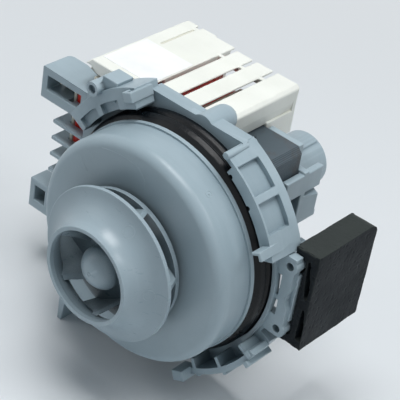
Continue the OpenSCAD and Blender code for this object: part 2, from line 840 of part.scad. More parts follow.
module bobbin() {
    low = 0.6;
    web_t = 1;
    window = [lead_front_y - 0.3, lead_high_z + 0.3];
    color(ivory) difference() {
        union() {
            round_leg(coil_left + 0.2, coil_right + 0.1, tube_wall + slip_fit, 1);
            // Left flange, with a window for the taped leads
            difference() {
                box([-flange_x, plate_back_y + 0.3, low], [-coil_left, coil_back_y + 1.5, coil_top_z]);
                box([-flange_x - CUT, window[0], coil_low_z - 0.3],
                    [-coil_left + CUT, lead_back_y + 0.2, window[1]]);
            }
            box([-coil_right - flange_t, coil_front_y - 0.4, coil_low_z + 0.6],
                [-coil_right, coil_back_y + 0.4, coil_top_z]);
            // Carrier in front of the yoke: web, strip and the ledge that holds the blade
            box([-carrier_x, carrier_back_y - web_t, low], [-coil_left, carrier_back_y, lead_high_z + 0.2]);
            box([-carrier_x, carrier_front_y, low], [-carrier_x + carrier_t, carrier_back_y, lead_high_z + 0.2]);
            box([-carrier_x - ledge_len, carrier_back_y - 1.8, ledge_low_z],
                [-carrier_x + CUT, carrier_back_y, lead_high_z + 0.1]);
        }
        box([-flange_x - CUT, core_y - slip_fit, leg_in_z - slip_fit],
            [-coil_right + CUT, core_back_y + slip_fit, core_half_h + slip_fit]);
        terminal_blade(slip_fit / 3);
    }
}

module tapered_wrap(grow, taper) {
    right = coil_right + flange_t;
    round_leg(coil_left - taper, right, grow, 4);
    round_leg(coil_left, right, grow - taper, 3);
}

module coil_tape() {
    lead_corner = 1;
    color(tape_red) {
        difference() {
            tapered_wrap(coil_depth, end_taper);
            round_leg(coil_left + CUT, coil_right + flange_t + tape_t, winding_depth, 3);
            round_leg(coil_left + CUT, coil_right, tube_wall + slip_fit, 1);
        }
        // Taped leads, in front of the yoke
        translate([0, 0, lead_low_z]) linear_extrude(lead_high_z - lead_low_z) union() {
            translate([-carrier_x + carrier_t + 0.2, lead_front_y + lead_corner])
                square([carrier_x - carrier_t - flange_x - 0.4, lead_back_y - lead_front_y - lead_corner]);
            translate([-carrier_x + carrier_t + 0.2 + lead_corner, lead_front_y])
                square([carrier_x - carrier_t - flange_x - 0.4 - 2 * lead_corner, 2 * lead_corner]);
            for (x = [-carrier_x + carrier_t + 0.2 + lead_corner, -flange_x - 0.2 - lead_corner])
                translate([x, lead_front_y + lead_corner]) circle(r = lead_corner, $fn = FINE);
        }
        box([-flange_x - CUT, lead_front_y + 0.4, coil_low_z + 5], [-coil_left + end_taper + 0.6,
            core_y - winding_depth - 0.1, lead_high_z - 0.2]);
    }
}

module winding() {
    color([0.72, 0.43, 0.20]) difference() {
        round_leg(coil_left, coil_right + flange_t + tape_t, winding_depth, 3);
        round_leg(coil_left + CUT, coil_right, tube_wall + slip_fit, 1);
    }
}

// A flat blade in a plug shroud, grown on every side for the slot that holds it
module terminal_blade(grow = 0) {
    blade_w = 2.8;
    thick = 0.8;
    left = carrier_x + ledge_len - 0.4;
    high = lead_high_z - 0.3;
    box([-left - grow, lead_front_y - grow, high - blade_w - grow],
        [-left + thick + grow, carrier_back_y - 0.4 + grow, high + grow]);
}

// Coil housing and sticker

// The housing's top plate with its slats, slots and rear notches
module slotted_top() {
    notch = [47.8, 45.6];
    groove = [47.3, 46.1];
    groove_deep = 0.5;
    low = housing_z - slat_t - CUT;
    high = housing_z + CUT;
    difference() {
        union() {
            box([-housing_left, slot_front_y - 2, housing_z - slat_t],
                [housing_right - 1.5, housing_back_y, housing_z]);
            box([-housing_left, plate_back_y + 0.3, housing_z - slat_t],
                [-apron_right, slot_front_y, housing_z]);
            box([-housing_left, housing_back_y - CUT, housing_z - slat_t],
                [first_slot_x - slot_w / 2, label_slat_back_y, housing_z]);
        }
        for (i = [0 : 2]) {
            x = first_slot_x + i * slot_pitch;
            box([x - slot_w / 2, slot_front_y, low], [x + slot_w / 2, slot_back_y, high]);
            box([x - slot_w / 2, notch_front_y, low], [x + slot_w / 2, label_slat_back_y + CUT, high]);
        }
        // Notch and blind groove at the rear of the label slat
        box([-notch[0], housing_back_y - 0.7, low], [-notch[1], label_slat_back_y + CUT, high]);
        box([-groove[0], 43, housing_z - groove_deep], [-groove[1], housing_back_y - housing_wall, high]);
        box([-38, label_slat_back_y - 1, low], [first_slot_x, label_slat_back_y + CUT, high]);
    }
}

// The housing's right wall, seen along the axis
module right_wall_outline() {
    edge = 1.3;
    left = housing_right - housing_wall - edge;
    polygon([
        [left, housing_z - slat_t], [housing_right - edge, housing_z], [housing_right, housing_z - edge],
        [housing_right - 0.4, housing_skirt_z + 5], [housing_right - edge, housing_skirt_z],
        [left, housing_skirt_z]
    ]);
}

// The housing's end walls at the left, seen along the axis: they clear the yoke's chamfered corner
module end_wall_outline() {
    polygon([
        [-housing_left, housing_z], [-slope_foot[0], slope_foot[1]], [-slope_foot[0], slope_low_z],
        [-yoke_right - 3.6, slope_low_z], [-yoke_right + 0.5, housing_skirt_z + 0.2],
        [-yoke_right + 0.5, housing_z]
    ]);
}

// The sloped wall at the left, seen along the axis
module slope_outline() {
    polygon([
        [-housing_left, housing_z], [-slope_foot[0], slope_foot[1]], [-slope_foot[0], slope_low_z],
        [-slope_foot[0] + housing_wall, slope_low_z], [-slope_foot[0] + housing_wall, slope_foot[1] - 0.7],
        [-housing_left + 2.6, housing_z]
    ]);
}

module housing_half() {
    apron_front_y = plate_back_y + 0.3;
    front_wall_y = top_back_y + 0.4;
    rear_wall_y = housing_back_y - housing_wall;
    post_left = housing_right - housing_wall - 6;
    post_right = housing_right - 0.3;
    dome_clear = dome_r + 0.3;
    difference() {
        union() {
            slotted_top();
            slab(slot_front_y - 2, housing_back_y) right_wall_outline();
            // Rear corner post at the right, and the wall that closes the side behind the core
            box([post_left, rear_wall_y, rear_skirt_z], [post_right, housing_back_y, housing_z - 1]);
            box([post_right - housing_wall, core_back_y + 0.4, rear_skirt_z],
                [post_right, housing_back_y, housing_skirt_z + CUT]);
            // Rear wall behind the label slat, and the bar under the notches
            box([-slope_foot[0], rear_wall_y, rear_skirt_z],
                [first_slot_x - slot_w / 2 - 1, housing_back_y, slope_low_z + CUT]);
            slab(rear_wall_y, housing_back_y) polygon([
                [-housing_left, housing_z], [-slope_foot[0], slope_foot[1]], [-slope_foot[0], rear_skirt_z],
                [first_slot_x - slot_w / 2 - 1, rear_skirt_z], [first_slot_x - slot_w / 2 - 1, housing_z]
            ]);
            box([-slope_foot[0], rear_wall_y, rear_skirt_z], [post_right, housing_back_y, rear_skirt_z + 4]);
            // Bridge under the slats, between the slots and the notches
            box([first_slot_x - 2, slot_back_y, housing_z - slat_t - 2],
                [housing_right - 1.5, notch_front_y, housing_z - slat_t / 2]);
            // Ribs that stiffen the wide label slat
            for (x = [-housing_left + 1, first_slot_x - slot_w / 2 - 1.4])
                box([x, front_wall_y, housing_z - slat_t - 2], [x + 1.4, housing_back_y - 1, housing_z - slat_t / 2]);
            // Left end: front wall, sloped wall and the short apron over the plug shroud
            slab(front_wall_y, front_wall_y + housing_wall) end_wall_outline();
            slab(front_wall_y, housing_back_y) slope_outline();
            slab(apron_front_y, front_wall_y + CUT) polygon([
                [-housing_left, housing_z], [-housing_left - 3.5, housing_z - 3.1],
                [-housing_left - 0.8, housing_z - 2.9], [-housing_left + 1.4, housing_z]
            ]);
            slab(apron_front_y, apron_front_y + 1.4) polygon([
                [-housing_left, housing_z], [-housing_left - 3.5, housing_z - 3.1],
                [-housing_left - 0.8, housing_z - 2.9], [-housing_left + 3.1, housing_z - 5.2],
                [-apron_right, housing_z - 5.2], [-apron_right, housing_z]
            ]);
        }
        slab(plate_back_y, dome_y + dome_r + 0.3) translate(dome) circle(r = dome_clear, $fn = ROUND);
    }
}

module coil_housing() {
    post = 2.4;
    color(ivory) {
        above_and_below() housing_half();
        // Corner posts that tie the upper and the lower half
        above_and_below()
            box([-slope_foot[0], housing_back_y - housing_wall, 0],
                [-slope_foot[0] + post * 2, housing_back_y, rear_skirt_z + CUT]);
    }
}

module label_plate() {
    color([0.97, 0.97, 0.97])
        box([-housing_left + 1, slot_front_y, housing_z],
            [first_slot_x - slot_w / 2 - 0.4, slot_front_y + label_len, housing_z + label_t]);
}

// Rubber block

module mount_block() {
    pocket_r = tab_boss_r + 0.5;
    slot_fit = slip_fit;
    color(rubber_black) difference() {
        box([block_x, tab_back_y, -block_h / 2], [block_x + block_w, tab_back_y + block_len, block_h / 2]);
        box([tongue_x - slot_fit, tab_back_y - CUT, -tongue_half_h - slot_fit],
            [tongue_x + tongue_t + slot_fit, tongue_back_y + slot_fit, tongue_half_h + slot_fit]);
        for (z = [-tab_pitch / 2, tab_pitch / 2])
            slab(tab_back_y - CUT, tab_boss_back_y + 0.5)
                translate([tab_x, z]) circle(r = pocket_r, $fn = FINE);
    }
}

// Rotor and bearings

module shaft() {
    color([0.78, 0.79, 0.81]) tube(0, shaft_r, shaft_front_y, bearing_end_y);
}

module rotor_magnet() {
    color([0.20, 0.20, 0.21]) tube(sleeve_r, magnet_r, magnet_front_y, magnet_back_y);
}

module magnet_sleeve() {
    end_r = magnet_r - 1.6;
    end_t = 1.5;
    tail_r = shaft_r + 2;
    color(ivory) spun([
        [shaft_r, magnet_front_y - end_t], [end_r, magnet_front_y - end_t], [end_r, magnet_front_y],
        [sleeve_r, magnet_front_y], [sleeve_r, magnet_back_y], [end_r, magnet_back_y],
        [end_r, magnet_back_y + end_t], [tail_r, magnet_back_y + end_t],
        [tail_r, washer_y - 0.2], [shaft_r, washer_y - 0.2]
    ]);
}

module drive_dog() {
    color([0.25, 0.25, 0.27]) {
        tube(shaft_r, dog_ring_r, dog_front_y, dog_back_y);
        slab(dog_front_y, dog_back_y) sector(dog_ring_r - 0.4, tooth_r, -tooth_deg / 2, tooth_deg / 2);
    }
}

module front_bearing() {
    color([0.22, 0.22, 0.24])
        tube(shaft_r + shaft_fit, bearing_r, front_bearing_y, front_bearing_y + front_bearing_len);
}

module rear_bearing() {
    color([0.22, 0.22, 0.24]) tube(shaft_r + shaft_fit, bearing_r, rear_bearing_y, bearing_end_y);
}

module rear_bearing_seat() {
    color(rubber_black) tube(bearing_r, bearing_seat_r, rear_bearing_y, bearing_end_y);
}

module thrust_washer() {
    color([0.80, 0.80, 0.78]) tube(shaft_r + 2 * shaft_fit, bearing_r, washer_y, rear_bearing_y);
}

impeller_hub();
impeller_shroud();
pump_cover();
cover_gasket();
motor_casing();
rear_bracket();
coil_housing();
label_plate();
stator_core();
bobbin();  // upper_bobbin
mirror([0, 0, 1]) bobbin();  // lower_bobbin
coil_tape();  // upper_coil_tape
mirror([0, 0, 1]) coil_tape();  // lower_coil_tape
winding();  // upper_winding
mirror([0, 0, 1]) winding();  // lower_winding
color([0.80, 0.80, 0.82]) terminal_blade();  // upper_terminal
mirror([0, 0, 1]) color([0.80, 0.80, 0.82]) terminal_blade();  // lower_terminal
mount_block();
shaft();
rotor_magnet();
magnet_sleeve();
drive_dog();
front_bearing();
rear_bearing();
rear_bearing_seat();
thrust_washer();
cover_seal();
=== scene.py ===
"""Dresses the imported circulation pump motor: rounded edges, surface detail, materials, light and camera."""
import json
import math

import bmesh
import bpy
from mathutils import Matrix, Vector, noise


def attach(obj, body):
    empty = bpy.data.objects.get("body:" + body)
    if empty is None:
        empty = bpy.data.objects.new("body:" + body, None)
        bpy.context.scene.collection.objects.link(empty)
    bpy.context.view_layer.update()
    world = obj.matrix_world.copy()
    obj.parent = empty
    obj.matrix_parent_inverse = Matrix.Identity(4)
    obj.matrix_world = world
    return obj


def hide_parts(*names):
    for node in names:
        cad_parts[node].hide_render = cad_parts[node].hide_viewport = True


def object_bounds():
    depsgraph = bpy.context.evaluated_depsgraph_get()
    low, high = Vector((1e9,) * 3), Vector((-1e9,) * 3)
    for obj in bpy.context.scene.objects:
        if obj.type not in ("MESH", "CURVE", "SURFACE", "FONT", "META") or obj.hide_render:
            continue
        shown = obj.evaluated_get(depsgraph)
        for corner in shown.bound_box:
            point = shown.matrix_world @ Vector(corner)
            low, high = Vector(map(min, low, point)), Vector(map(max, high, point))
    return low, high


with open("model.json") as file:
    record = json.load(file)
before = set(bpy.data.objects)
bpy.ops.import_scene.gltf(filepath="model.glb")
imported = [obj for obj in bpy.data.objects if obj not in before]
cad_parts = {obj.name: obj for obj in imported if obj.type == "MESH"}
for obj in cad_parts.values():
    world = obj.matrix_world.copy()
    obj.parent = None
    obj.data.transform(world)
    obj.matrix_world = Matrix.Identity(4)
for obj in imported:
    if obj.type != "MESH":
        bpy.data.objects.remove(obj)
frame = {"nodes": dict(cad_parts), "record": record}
cad_low, cad_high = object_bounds()
NODES = frame["nodes"]
BODY_OF = {}
for body_name, members in frame["record"]["behaviour"]["bodies"].items():
    for member in members:
        BODY_OF[member] = body_name

MM = 0.001
# Corners nearer than this are one corner, and edges shorter than the next value go, both in metres
WELD = 2e-6
SPECK = 1e-6


# Node helpers
class Shader:
    """A material's node tree, with short calls for the nodes used here."""

    def __init__(self, name):
        self.material = bpy.data.materials.new(name)
        self.material.use_nodes = True
        self.tree = self.material.node_tree
        self.bsdf = self.tree.nodes["Principled BSDF"]
        self.coords = self.tree.nodes.new("ShaderNodeTexCoord").outputs["Object"]

    def node(self, kind, **values):
        """A new node of a kind, with its settings."""
        made = self.tree.nodes.new(kind)
        for key, value in values.items():
            setattr(made, key, value)
        return made

    def join(self, source, target):
        """Links an output to an input."""
        self.tree.links.new(source, target)

    def stretched(self, scale, turn=(0, 0, 0)):
        """The object coordinates, scaled and turned."""
        mapping = self.node("ShaderNodeMapping")
        mapping.inputs["Scale"].default_value = scale
        mapping.inputs["Rotation"].default_value = turn
        self.join(self.coords, mapping.inputs["Vector"])
        return mapping.outputs["Vector"]

    def noise(self, scale, detail=4, rough=0.55, vector=None):
        """A noise value, at the object coordinates unless a vector is given."""
        made = self.node("ShaderNodeTexNoise")
        made.inputs["Scale"].default_value = scale
        made.inputs["Detail"].default_value = detail
        made.inputs["Roughness"].default_value = rough
        self.join(vector or self.coords, made.inputs["Vector"])
        return made.outputs["Fac"]

    def ramp(self, value, low, high, out_low=0.0, out_high=1.0):
        """A value taken from one range to another and held inside it."""
        made = self.node("ShaderNodeMapRange")
        made.inputs["From Min"].default_value = low
        made.inputs["From Max"].default_value = high
        made.inputs["To Min"].default_value = out_low
        made.inputs["To Max"].default_value = out_high
        made.clamp = True
        self.join(value, made.inputs["Value"])
        return made.outputs["Result"]

    def maths(self, operation, a, b):
        """A sum, product or the like of two values, either of which may be a number."""
        made = self.node("ShaderNodeMath", operation=operation)
        for index, value in enumerate((a, b)):
            if isinstance(value, (int, float)):
                made.inputs[index].default_value = value
            else:
                self.join(value, made.inputs[index])
        return made.outputs[0]

    def mix(self, factor, a, b):
        """A mixture of two colours."""
        made = self.node("ShaderNodeMix", data_type="RGBA", blend_type="MIX")
        sockets = (made.inputs[0], made.inputs[6], made.inputs[7])
        for socket, value in zip(sockets, (factor, a, b)):
            if isinstance(value, (int, float)):
                socket.default_value = value
            elif isinstance(value, tuple):
                socket.default_value = value + (1.0,) if len(value) == 3 else value
            else:
                self.join(value, socket)
        return made.outputs[2]

    def bump(self, height, strength, distance, normal=None):
        """A normal bent by a height, on top of another normal if there is one."""
        made = self.node("ShaderNodeBump")
        made.inputs["Strength"].default_value = strength
        made.inputs["Distance"].default_value = distance
        self.join(height, made.inputs["Height"])
        if normal is not None:
            self.join(normal, made.inputs["Normal"])
        return made.outputs["Normal"]

    def colour(self, value):
        """Links the base colour."""
        self.join(value, self.bsdf.inputs["Base Color"])

    def rough(self, value):
        """Sets or links the roughness."""
        if isinstance(value, (int, float)):
            self.bsdf.inputs["Roughness"].default_value = value
        else:
            self.join(value, self.bsdf.inputs["Roughness"])

    def normal(self, value):
        """Links the normal."""
        self.join(value, self.bsdf.inputs["Normal"])

    def set(self, name, value):
        """Sets one socket of the surface shader."""
        self.bsdf.inputs[name].default_value = value


def linear(r, g, b):
    """An sRGB colour, 0 to 255, as the linear values a shader takes."""
    out = []
    for channel in (r, g, b):
        c = channel / 255
        out.append(c / 12.92 if c <= 0.04045 else ((c + 0.055) / 1.055) ** 2.4)
    return tuple(out)


# Materials
def moulded_plastic(name, base, worn, dark, roughness, grain=0.12, painted_shade=0.3):
    """Injection-moulded plastic: flow tone, fine grain, scuffed gloss, painted shade in concave corners and
    hollows, pale worn edges.
    """
    shade = 0.93
    # How dark the painted shade in hollows is, as a share of the dark colour
    painted_shade_darkness = 0.35
    hollow_reach = 0.014
    s = Shader(name)
    tone = s.ramp(s.noise(38, 3), 0.35, 0.65)
    body = s.mix(tone, base, tuple(c * shade for c in base))
    streaks = s.ramp(s.noise(22, 5, 0.6, s.stretched((1, 7, 1), (0.3, 0.2, 0.7))), 0.45, 0.75, 0, 0.25)
    body = s.mix(streaks, body, worn)
    geometry = s.node("ShaderNodeNewGeometry")
    edge = s.ramp(geometry.outputs["Pointiness"], 0.51, 0.58, 0, 0.35)
    body = s.mix(edge, body, worn)
    # Painted shade: concave corners are darkened by Pointiness
    corner = s.ramp(geometry.outputs["Pointiness"], 0.49, 0.42, 0, 0.5)
    body = s.mix(corner, body, dark)
    # Painted shade: hollows are darkened by ambient occlusion, by the painted_shade amount
    hollow = s.node("ShaderNodeAmbientOcclusion", samples=8)
    hollow.inputs["Distance"].default_value = hollow_reach
    painted_hollow_shade = s.ramp(hollow.outputs["AO"], 0.75, 0.15, 0, painted_shade)
    body = s.mix(painted_hollow_shade, body, tuple(c * painted_shade_darkness for c in dark))
    specks = s.ramp(s.noise(1900, 2, 0.5), 0.70, 0.78, 0, 0.35)
    body = s.mix(specks, body, dark)
    s.colour(body)
    scuffs = s.noise(140, 6, 0.7, s.stretched((1, 1, 4), (0.5, 0.9, 0.1)))
    s.rough(s.ramp(scuffs, 0.3, 0.7, roughness - 0.03, roughness + 0.05))
    fine = s.noise(5200, 3, 0.6)
    wave = s.noise(120, 2, 0.5)
    s.normal(s.bump(fine, grain, 0.00006, s.bump(wave, 0.05, 0.0006)))
    s.set("IOR", 1.49)
    return s.material


def rubber(name, base, dust_and_sheen, roughness, dust_and_sheen_amount):
    """Black rubber with pale dust on it, pits and rubbed patches; on the gasket the pale colour is a painted
    bluish sheen on its edges and tops.
    """
    s = Shader(name)
    cloud = s.noise(55, 8, 0.68)
    smear = s.noise(30, 7, 0.7, s.stretched((1, 1, 2.6), (0.2, 0.5, 0.3)))
    amount = s.maths("MULTIPLY", s.ramp(cloud, 0.45, 0.75), s.ramp(smear, 0.4, 0.7))
    geometry = s.node("ShaderNodeNewGeometry")
    upward = s.node("ShaderNodeSeparateXYZ")
    s.join(geometry.outputs["Normal"], upward.inputs[0])
    lying = s.ramp(upward.outputs[2], 0.1, 0.8, 0.25, 1.0)
    # Edges take the pale colour: rubbed dust on the block, a painted sheen on the gasket
    edge = s.ramp(geometry.outputs["Pointiness"], 0.51, 0.60, 0, 0.3)
    # Upward faces take the pale colour: settled dust on the block, a painted sheen on the gasket
    top_dust_and_sheen = s.maths("MULTIPLY", s.ramp(upward.outputs[2], 0.2, 0.9, 0, 0.45), dust_and_sheen_amount)
    body = s.mix(top_dust_and_sheen, base, dust_and_sheen)
    body = s.mix(s.maths("MULTIPLY", s.maths("MULTIPLY", amount, dust_and_sheen_amount), lying), body, dust_and_sheen)
    body = s.mix(edge, body, dust_and_sheen)
    s.colour(body)
    s.rough(s.ramp(cloud, 0.3, 0.7, roughness - 0.1, roughness + 0.12))
    pits = s.noise(1500, 5, 0.65)
    swell = s.noise(160, 4, 0.6)
    s.normal(s.bump(pits, 0.35, 0.00015, s.bump(swell, 0.25, 0.0008)))
    s.set("Specular IOR Level", 0.22)
    return s.material


def taped(name, base, dark):
    """Red polyester tape wound over a coil: lapped turns, small wrinkles, glossy film."""
    s = Shader(name)
    laps = s.node("ShaderNodeTexWave", wave_type="BANDS", bands_direction="X", wave_profile="SAW")
    laps.inputs["Scale"].default_value = 55
    laps.inputs["Distortion"].default_value = 0.6
    laps.inputs["Detail"].default_value = 2
    s.join(s.stretched((1, 0.25, 0.18)), laps.inputs["Vector"])
    wrinkles = s.noise(420, 5, 0.65, s.stretched((1, 1, 0.35)))
    body = s.mix(s.ramp(laps.outputs["Fac"], 0.86, 1.0), base, dark)
    body = s.mix(s.ramp(wrinkles, 0.45, 0.75, 0, 0.3), body, dark)
    s.colour(body)
    s.rough(s.ramp(wrinkles, 0.3, 0.7, 0.26, 0.42))
    s.normal(s.bump(wrinkles, 0.3, 0.0004, s.bump(laps.outputs["Fac"], 0.5, 0.0003)))
    s.set("Coat Weight", 0.25)
    return s.material


def laminated(name, steel, rust, gap):
    """A stack of punched steel sheets, lying across the height, with dark seams and rust."""
    s = Shader(name)
    sheets = s.node("ShaderNodeTexWave", wave_type="BANDS", bands_direction="Z", wave_profile="SIN")
    sheets.inputs["Scale"].default_value = 640
    sheets.inputs["Distortion"].default_value = 0.15
    s.join(s.coords, sheets.inputs["Vector"])
    seam = s.ramp(sheets.outputs["Fac"], 0.0, 0.30, 1, 0)
    cloud = s.noise(90, 6, 0.65)
    rusty = s.ramp(cloud, 0.48, 0.72, 0, 0.75)
    body = s.mix(rusty, steel, rust)
    body = s.mix(s.maths("MULTIPLY", seam, 0.7), body, gap)
    s.colour(body)
    s.set("Metallic", 0.55)
    s.rough(s.ramp(cloud, 0.3, 0.7, 0.34, 0.52))
    s.normal(s.bump(sheets.outputs["Fac"], 0.45, 0.00018))
    return s.material


def metal(name, base, tint, roughness, scale=(1, 1, 1), metallic=1.0):
    """Plain worked metal with drawn lines and tarnish."""
    s = Shader(name)
    cloud = s.noise(160, 5, 0.6)
    lines = s.noise(900, 4, 0.6, s.stretched(scale))
    s.colour(s.mix(s.ramp(cloud, 0.4, 0.7), base, tint))
    s.rough(s.ramp(lines, 0.3, 0.7, roughness - 0.06, roughness + 0.08))
    s.set("Metallic", metallic)
    s.normal(s.bump(lines, 0.15, 0.00008))
    return s.material


def sticker(name, base, tint):
    """A pale film label, left bare: faint clouds, a soft gloss and fine paper grain."""
    s = Shader(name)
    cloud = s.noise(70, 5, 0.6)
    s.colour(s.mix(s.ramp(cloud, 0.45, 0.75), base, tint))
    s.rough(s.ramp(cloud, 0.3, 0.7, 0.32, 0.42))
    s.normal(s.bump(s.noise(2600, 3), 0.12, 0.00005))
    return s.material


GREY = moulded_plastic(
    "grey plastic", linear(152, 170, 179), linear(178, 194, 202), linear(88, 108, 120), 0.36)
# The impeller plastic has strong painted shade in its hollows
DARK_GREY = moulded_plastic(
    "impeller plastic", linear(152, 169, 178), linear(176, 193, 201), linear(88, 107, 117), 0.29, painted_shade=0.9)
IVORY = moulded_plastic(
    "ivory plastic", linear(238, 240, 232), linear(246, 247, 244), linear(186, 180, 158), 0.45)
WHITE = moulded_plastic(
    "bobbin plastic", linear(228, 224, 206), linear(240, 237, 225), linear(168, 158, 132), 0.42)
TAPE = taped("red tape", linear(226, 48, 32), linear(168, 28, 20))
BLACK = rubber("block rubber", linear(7, 15, 21), linear(66, 72, 68), 0.6, 0.8)
# The gasket's pale bluish colour is a painted sheen
RING = rubber("gasket rubber", linear(7, 10, 13), linear(24, 32, 40), 0.30, 0.12)
CORE = laminated("laminated steel", linear(84, 96, 104), linear(92, 78, 64), linear(30, 33, 36))
LABEL = sticker("bare label", linear(246, 247, 247), linear(236, 238, 240))
COPPER = metal("enamelled copper", linear(196, 112, 62), linear(150, 74, 40), 0.3)
BRASS = metal("tinned brass", linear(206, 196, 168), linear(176, 160, 120), 0.3, (1, 6, 1))
STEEL = metal("ground steel", linear(196, 198, 202), linear(170, 172, 178), 0.2, (1, 8, 1))
FERRITE = metal("ferrite magnet", linear(62, 62, 64), linear(44, 44, 48), 0.5, metallic=0.2)
CARBON = metal("carbon bush", linear(44, 44, 46), linear(30, 30, 34), 0.45, metallic=0.1)
WASHER = metal("thrust washer", linear(210, 206, 196), linear(190, 186, 176), 0.3, metallic=0.0)


# Mesh helpers
def new_piece(name, mesh):
    """An object in the scene."""
    piece = bpy.data.objects.new(name, mesh)
    bpy.context.scene.collection.objects.link(piece)
    return piece


def coat(mesh, material):
    """Gives all of a mesh one material."""
    mesh.materials.clear()
    mesh.materials.append(material)
    for polygon in mesh.polygons:
        polygon.material_index = 0


def smoothed(mesh):
    """Shades all of a mesh smooth."""
    for polygon in mesh.polygons:
        polygon.use_smooth = True


def solid_mesh(name, corners, faces):
    """A closed mesh whose faces look outwards."""
    mesh = bpy.data.meshes.new(name)
    mesh.from_pydata(corners, [], faces)
    bm = bmesh.new()
    bm.from_mesh(mesh)
    bmesh.ops.recalc_face_normals(bm, faces=bm.faces)
    bm.to_mesh(mesh)
    bm.free()
    return mesh


def on_ring(radius, y, degrees):
    """A point about the pump axis, in mm."""
    turn = math.radians(degrees)
    return Vector((radius * math.cos(turn), y, radius * math.sin(turn)))


# Rounded copies of the CAD nodes
def gap_in_face(edge, face):
    """The least distance from an edge's middle to the edges of a face that it doesn't meet."""
    none = 1.0
    tiny = 1e-7
    along_enough = 0.7
    middle = (edge.verts[0].co + edge.verts[1].co) * 0.5
    along = (edge.verts[1].co - edge.verts[0].co).normalized()
    least = none
    for other in face.edges:
        if other is edge:
            continue
        a, b = other.verts[0].co, other.verts[1].co
        span = b - a
        t = max(0.0, min(1.0, (middle - a).dot(span) / max(span.length_squared, 1e-18)))
        away = (a + span * t) - middle
        across = (away - along * away.dot(along)).length
        if other.verts[0] in edge.verts or other.verts[1] in edge.verts:
            if abs(span.normalized().dot(along)) > along_enough:
                continue
            across = span.length
        least = min(least, across if across > tiny else least)
    return least


def settle(piece):
    """The mesh that a piece has after its modifiers."""
    graph = bpy.context.evaluated_depsgraph_get()
    graph.update()
    return bpy.data.meshes.new_from_object(piece.evaluated_get(graph), depsgraph=graph)


def welded(node, merge=True):
    """A copy of a CAD node's mesh whose faces share their corners, with level faces merged."""
    level = math.radians(0.8)
    mesh = NODES[node].data.copy()
    mesh.name = "dressed_" + node
    bm = bmesh.new()
    bm.from_mesh(mesh)
    bmesh.ops.remove_doubles(bm, verts=bm.verts, dist=WELD)
    bmesh.ops.dissolve_degenerate(bm, edges=bm.edges, dist=SPECK)
    if merge:
        bmesh.ops.dissolve_limit(bm, angle_limit=level, verts=bm.verts, edges=bm.edges,
                                 use_dissolve_boundaries=False)
    bm.to_mesh(mesh)
    bm.free()
    return mesh


def carved(piece, cutter):
    """The piece's mesh with the cutter's solid taken away; the cutter goes."""
    boolean = piece.modifiers.new("cut", "BOOLEAN")
    boolean.operation = "DIFFERENCE"
    boolean.solver = "EXACT"
    boolean.object = cutter
    mesh = settle(piece)
    piece.modifiers.clear()
    bpy.data.objects.remove(cutter)
    return mesh


def prism_run(name, sections):
    """A closed solid through a row of four-cornered sections, given in mm."""
    corners = [tuple(c * MM for c in corner) for section in sections for corner in section]
    faces = [(0, 1, 2, 3), tuple(len(corners) - 1 - i for i in range(4))]
    for i in range(len(sections) - 1):
        for j in range(4):
            k = (j + 1) % 4
            faces.append((4 * i + k, 4 * i + j, 4 * i + 4 + j, 4 * i + 4 + k))
    return new_piece(name, solid_mesh(name, corners, faces))


def dress(node, material, width, cutter=None, merge=True):
    """A copy of a CAD node with rounded edges, which stands for it. Width is the rounding in mm.

    Where a face is narrow, the rounding shrinks to a share of the room in it.
    """
    sharp = math.radians(24)
    share_of_room = 0.42
    least_weight = 0.08
    mesh = welded(node, merge)
    piece = new_piece("dressed_" + node, mesh)
    if cutter is not None:
        mesh = carved(piece, cutter)
        piece.data = mesh
    bm = bmesh.new()
    bm.from_mesh(mesh)
    layer = bm.edges.layers.float.new("bevel_weight_edge")
    full = width * MM
    for edge in bm.edges:
        if len(edge.link_faces) != 2:
            continue
        if edge.calc_face_angle(0.0) < sharp:
            continue
        room = min(gap_in_face(edge, face) for face in edge.link_faces)
        weight = min(1.0, share_of_room * room / full)
        edge[layer] = weight if weight > least_weight else 0.0
    for face in bm.faces:
        face.smooth = True
    bm.to_mesh(mesh)
    bm.free()
    coat(mesh, material)
    mesh.set_sharp_from_angle(angle=sharp)
    bevel = piece.modifiers.new("rounded edges", "BEVEL")
    bevel.width = full
    bevel.segments = 2
    bevel.limit_method = "WEIGHT"
    bevel.use_clamp_overlap = False
    bevel.harden_normals = False
    bevel.miter_outer = "MITER_SHARP"
    bevel.loop_slide = True
    if merge:
        normals = piece.modifiers.new("flat faces", "WEIGHTED_NORMAL")
        normals.keep_sharp = True
        normals.weight = 60
    triangles = piece.modifiers.new("plain triangles", "TRIANGULATE")
    triangles.keep_custom_normals = True
    triangles.min_vertices = 5
    triangles.ngon_method = "BEAUTY"
    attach(piece, BODY_OF[node])
    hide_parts(node)


# The worn rubber block, whose front, back and half height are these in mm
BLOCK_FRONT = 12.0
BLOCK_BACK = 48.0
BLOCK_TOP = 21.25


def slit(points, half_widths):
    """A cutter that narrows inwards, along a line in X and Z on the block's front."""
    mouth = BLOCK_FRONT - 1.0
    floor_y = BLOCK_FRONT + 3.6
    sections = []
    for (x, z), w in zip(points, half_widths):
        inner = 0.5 * w
        sections.append((
            (x - w, mouth, z), (x + w, mouth, z), (x + inner, floor_y, z), (x - inner, floor_y, z)))
    return prism_run("slit", sections)


def rounded_corner(y, z, corner_y, corner_z, radius):
    """Draws a point in Y and Z back onto the round of a corner."""
    inward_y = 1 if corner_y == BLOCK_FRONT else -1
    inward_z = 1 if corner_z < 0 else -1
    centre_y = corner_y + inward_y * radius
    centre_z = corner_z + inward_z * radius
    u, v = y - centre_y, z - centre_z
    if u * inward_y >= 0 or v * inward_z >= 0:
        return y, z
    far = math.hypot(u, v)
    if far <= radius:
        return y, z
    return centre_y + u * radius / far, centre_z + v * radius / far


